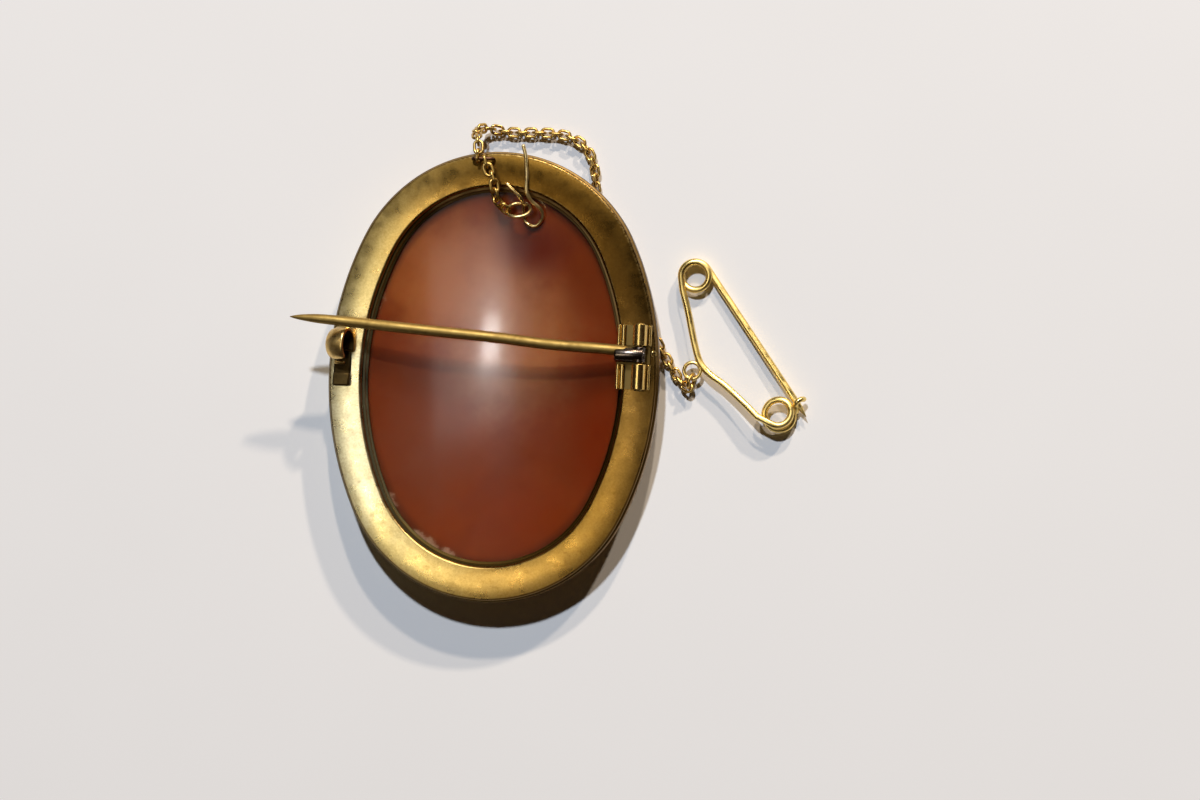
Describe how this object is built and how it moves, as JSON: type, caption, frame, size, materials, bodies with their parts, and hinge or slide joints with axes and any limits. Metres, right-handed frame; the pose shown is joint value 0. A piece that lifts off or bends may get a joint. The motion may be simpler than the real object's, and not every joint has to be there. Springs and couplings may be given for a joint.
{
  "type": "cameo brooch",
  "caption": "Oval shell cameo in a brass frame, back up, with a hinged pin, a C catch and a chain that ends in a safety pin.",
  "frame": {"origin": "centre of the oval, in the plane of the front rim that the brooch lies on", "axes": "+Z out of the back of the brooch, +Y along the oval's long axis to the end with the chain, +X to the pin's hinge"},
  "size_m": [0.069, 0.0646, 0.0099],
  "materials": {
    "gilt_brass": "worn satin gilt brass",
    "carved_shell": "polished helmet shell",
    "pin_metal": "dark tarnished brass wire",
    "chain_brass": "tarnished brass wire",
    "safety_brass": "brass wire"
  },
  "bodies": {
    "root": {"frame": "gilt_brass", "shell": "carved_shell", "hinge_rivet": "pin_metal", "chain": "chain_brass", "hook_chain": "chain_brass", "hook_ring": "chain_brass", "wire_hook": "chain_brass", "safety_pin": "safety_brass"},
    "pin": {"pin": "pin_metal"}
  },
  "joints": [
    {"name": "pin_hinge", "type": "hinge", "parent": "root", "child": "pin", "pos_m": [0.0202, 0.0035, 0.00715], "axis": [0, 1, 0], "range_deg": [0, 115]}
  ]
}
